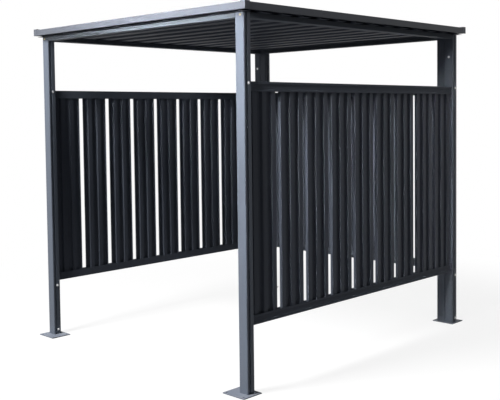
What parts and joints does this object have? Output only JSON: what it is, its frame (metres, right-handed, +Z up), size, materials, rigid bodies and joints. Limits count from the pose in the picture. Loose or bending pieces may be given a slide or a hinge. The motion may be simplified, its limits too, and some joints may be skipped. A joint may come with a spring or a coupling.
{
  "type": "bike shelter",
  "caption": "Open-fronted bike shelter with a flat roof on steel posts and three slatted walls of ribbed sheet.",
  "frame": {"origin": "on the floor, at the middle of the plan", "axes": "+Z up, +Y from the open front to the back wall, +X to the right seen from the front"},
  "size_m": [1.89, 2.11, 1.9613],
  "materials": {
    "frame_steel": "fine anthracite powder coat",
    "slat_steel": "fine anthracite powder coat",
    "roof_steel": "fine anthracite powder coat",
    "trim_steel": "fine anthracite powder coat",
    "foot_steel": "fine anthracite powder coat"
  },
  "bodies": {
    "root": {"front_post_left": "frame_steel", "corner_post_left": "frame_steel", "back_post_left": "frame_steel", "foot_front_left": "foot_steel", "foot_rear_left": "foot_steel", "corner_cap_front_left": "trim_steel", "corner_cap_back_left": "trim_steel", "front_post_right": "frame_steel", "corner_post_right": "frame_steel", "back_post_right": "frame_steel", "foot_front_right": "foot_steel", "foot_rear_right": "foot_steel", "corner_cap_front_right": "trim_steel", "corner_cap_back_right": "trim_steel", "front_beam": "frame_steel", "back_beam": "frame_steel", "left_beam": "frame_steel", "right_beam": "frame_steel", "front_trim": "trim_steel", "back_trim": "trim_steel", "left_trim": "trim_steel", "right_trim": "trim_steel", "roof_sheet_front": "roof_steel", "roof_sheet_middle": "roof_steel", "roof_sheet_back": "roof_steel", "left_bottom_rail": "frame_steel", "left_top_rail": "frame_steel", "left_wall_slats": "slat_steel", "right_bottom_rail": "frame_steel", "right_top_rail": "frame_steel", "right_wall_slats": "slat_steel", "back_bottom_rail": "frame_steel", "back_top_rail": "frame_steel", "back_wall_slats": "slat_steel"}
  },
  "joints": []
}
